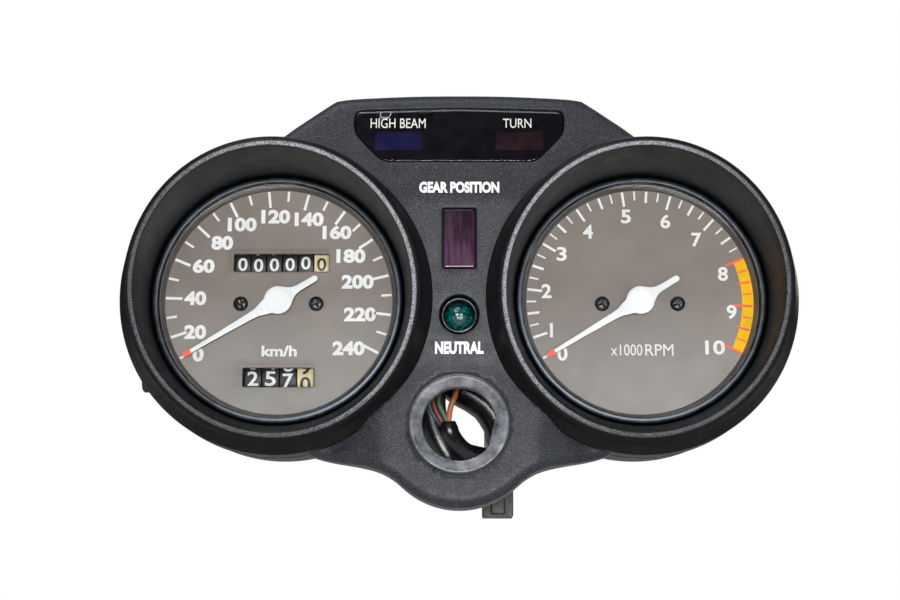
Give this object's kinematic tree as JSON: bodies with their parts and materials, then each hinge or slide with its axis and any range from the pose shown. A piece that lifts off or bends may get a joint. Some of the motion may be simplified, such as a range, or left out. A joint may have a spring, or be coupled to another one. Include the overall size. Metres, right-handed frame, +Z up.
{
  "type": "motorcycle instrument cluster",
  "caption": "Hooded twin-dial motorcycle gauge cluster with warning lamps, gear window, neutral lamp and an open ignition-switch boss.",
  "frame": {"origin": "centre of the mounting bracket's rear pad, at the height of the gauge axes", "axes": "+X to the rider's right along the row of gauges, +Y away from the rider, +Z up"},
  "size_m": [0.2492, 0.1161, 0.1558],
  "materials": {
    "black_plastic": "moulded grain, worn silvery along the hood lips",
    "smoked_lens": "smoked, glossy",
    "blue_filter": "dark blue, translucent",
    "red_filter": "dark red, translucent",
    "pale_plastic": "moulded, satin",
    "purple_lens": "dark purple, polished",
    "teal_lens": "dark green-blue, translucent",
    "lamp_ring": "dull chrome",
    "bracket_zinc": "black enamel, worn",
    "connector_plastic": "moulded, satin",
    "harness_rubber": "pliable sheath",
    "orange_wire": "wire insulation",
    "rubber": "moulded",
    "can_alloy": "drawn, dull",
    "rear_cover_paint": "dark brown, dusty and weathered",
    "bezel_metal": "dark satin ring",
    "gauge_glass": "clear, flat",
    "dial_paint": "matt taupe with printed scales",
    "screw_steel": "blackened",
    "needle_paint": "white with a red tip",
    "spindle_alloy": "machined",
    "shaft_steel": "machined",
    "frame_zinc": "die cast, grey",
    "nut_zinc": "zinc plated",
    "drum_cream": "cream with black numerals",
    "drum_black": "black with white numerals"
  },
  "bodies": {
    "cluster": {"front_case": "black_plastic", "warning_lens": "smoked_lens", "high_beam_filter": "blue_filter", "turn_filter": "red_filter", "lamp_housing": "pale_plastic", "bulb_holder_high_beam": "rubber", "bulb_holder_turn": "rubber", "bulb_holder_neutral": "rubber", "gear_window_lens": "purple_lens", "gear_display_module": "black_plastic", "neutral_lamp_bezel": "lamp_ring", "neutral_lens": "teal_lens", "mounting_bracket": "bracket_zinc", "harness_connector": "connector_plastic", "harness_sleeve": "harness_rubber", "wire_warning_lamps": "harness_rubber", "wire_neutral_lamp": "orange_wire", "speedometer_can": "can_alloy", "speedometer_rear_cover": "rear_cover_paint", "speedometer_bezel": "bezel_metal", "speedometer_gasket": "rubber", "speedometer_glass": "gauge_glass", "speedometer_dial": "dial_paint", "speedometer_dial_screw_left": "screw_steel", "speedometer_dial_screw_right": "screw_steel", "speedometer_movement_frame": "frame_zinc", "speedometer_damper_left": "rubber", "speedometer_damper_right": "rubber", "speedometer_cap_nut_left": "nut_zinc", "speedometer_cap_nut_right": "nut_zinc", "tachometer_can": "can_alloy", "tachometer_rear_cover": "rear_cover_paint", "tachometer_bezel": "bezel_metal", "tachometer_gasket": "rubber", "tachometer_glass": "gauge_glass", "tachometer_dial": "dial_paint", "tachometer_dial_screw_left": "screw_steel", "tachometer_dial_screw_right": "screw_steel", "tachometer_movement_frame": "frame_zinc", "tachometer_damper_left": "rubber", "tachometer_damper_right": "rubber", "tachometer_cap_nut_left": "nut_zinc", "tachometer_cap_nut_right": "nut_zinc"},
    "speedometer_needle": {"speedometer_needle": "needle_paint", "speedometer_spindle": "spindle_alloy"},
    "tachometer_needle": {"tachometer_needle": "needle_paint", "tachometer_spindle": "spindle_alloy"},
    "speedometer_drive_shaft": {"speedometer_drive_shaft": "shaft_steel"},
    "tachometer_drive_shaft": {"tachometer_drive_shaft": "shaft_steel"},
    "odometer_drum_tenths": {"odometer_drum_tenths": "drum_cream"},
    "odometer_drum_1": {"odometer_drum_1": "drum_black"},
    "odometer_drum_10": {"odometer_drum_10": "drum_black"},
    "odometer_drum_100": {"odometer_drum_100": "drum_black"},
    "odometer_drum_1000": {"odometer_drum_1000": "drum_black"},
    "odometer_drum_10000": {"odometer_drum_10000": "drum_black"},
    "trip_drum_tenths": {"trip_drum_tenths": "drum_cream"},
    "trip_drum_1": {"trip_drum_1": "drum_black"},
    "trip_drum_10": {"trip_drum_10": "drum_black"},
    "trip_drum_100": {"trip_drum_100": "drum_black"},
    "trip_reset_knob": {"trip_reset_knob": "black_plastic"}
  },
  "joints": [
    {"name": "speedometer_needle_swing", "type": "hinge", "parent": "cluster", "child": "speedometer_needle", "pos_m": [-0.067, -0.0669, 0], "axis": [0, 1, 0], "range_deg": [0, 240], "stiffness_Nm_per_rad": 0.001, "springref_deg": -28.65},
    {"name": "tachometer_needle_swing", "type": "hinge", "parent": "cluster", "child": "tachometer_needle", "pos_m": [0.067, -0.0669, 0], "axis": [0, 1, 0], "range_deg": [0, 240], "stiffness_Nm_per_rad": 0.001, "springref_deg": -28.65},
    {"name": "speedometer_drive_spin", "type": "hinge", "parent": "cluster", "child": "speedometer_drive_shaft", "pos_m": [-0.067, -0.011, 0], "axis": [0, 1, 0], "continuous": true},
    {"name": "tachometer_drive_spin", "type": "hinge", "parent": "cluster", "child": "tachometer_drive_shaft", "pos_m": [0.067, -0.011, 0], "axis": [0, 1, 0], "continuous": true},
    {"name": "odometer_tenths_roll", "type": "hinge", "parent": "cluster", "child": "odometer_drum_tenths", "pos_m": [-0.05155, -0.0512, 0.0147], "axis": [-1, 0, 0], "continuous": true},
    {"name": "odometer_1_roll", "type": "hinge", "parent": "cluster", "child": "odometer_drum_1", "pos_m": [-0.05745, -0.0512, 0.0147], "axis": [-1, 0, 0], "continuous": true},
    {"name": "odometer_10_roll", "type": "hinge", "parent": "cluster", "child": "odometer_drum_10", "pos_m": [-0.06335, -0.0512, 0.0147], "axis": [-1, 0, 0], "continuous": true},
    {"name": "odometer_100_roll", "type": "hinge", "parent": "cluster", "child": "odometer_drum_100", "pos_m": [-0.06925, -0.0512, 0.0147], "axis": [-1, 0, 0], "continuous": true},
    {"name": "odometer_1000_roll", "type": "hinge", "parent": "cluster", "child": "odometer_drum_1000", "pos_m": [-0.07515, -0.0512, 0.0147], "axis": [-1, 0, 0], "continuous": true},
    {"name": "odometer_10000_roll", "type": "hinge", "parent": "cluster", "child": "odometer_drum_10000", "pos_m": [-0.08105, -0.0512, 0.0147], "axis": [-1, 0, 0], "continuous": true},
    {"name": "trip_tenths_roll", "type": "hinge", "parent": "cluster", "child": "trip_drum_tenths", "pos_m": [-0.05695, -0.0512, -0.0284], "axis": [-1, 0, 0], "continuous": true},
    {"name": "trip_1_roll", "type": "hinge", "parent": "cluster", "child": "trip_drum_1", "pos_m": [-0.06345, -0.0512, -0.0284], "axis": [-1, 0, 0], "continuous": true},
    {"name": "trip_10_roll", "type": "hinge", "parent": "cluster", "child": "trip_drum_10", "pos_m": [-0.06995, -0.0512, -0.0284], "axis": [-1, 0, 0], "continuous": true},
    {"name": "trip_100_roll", "type": "hinge", "parent": "cluster", "child": "trip_drum_100", "pos_m": [-0.07645, -0.0512, -0.0284], "axis": [-1, 0, 0], "continuous": true},
    {"name": "trip_reset_turn", "type": "hinge", "parent": "cluster", "child": "trip_reset_knob", "pos_m": [-0.115, -0.0512, -0.0284], "axis": [-1, 0, 0], "continuous": true}
  ],
  "couplings": [
    {"joint": "odometer_1_roll", "follows": "odometer_tenths_roll", "ratio": 0.1},
    {"joint": "odometer_10_roll", "follows": "odometer_tenths_roll", "ratio": 0.01},
    {"joint": "odometer_100_roll", "follows": "odometer_tenths_roll", "ratio": 0.001},
    {"joint": "odometer_1000_roll", "follows": "odometer_tenths_roll", "ratio": 0.0001},
    {"joint": "odometer_10000_roll", "follows": "odometer_tenths_roll", "ratio": 0.00001},
    {"joint": "trip_1_roll", "follows": "trip_tenths_roll", "ratio": 0.1},
    {"joint": "trip_10_roll", "follows": "trip_tenths_roll", "ratio": 0.01},
    {"joint": "trip_100_roll", "follows": "trip_tenths_roll", "ratio": 0.001}
  ]
}
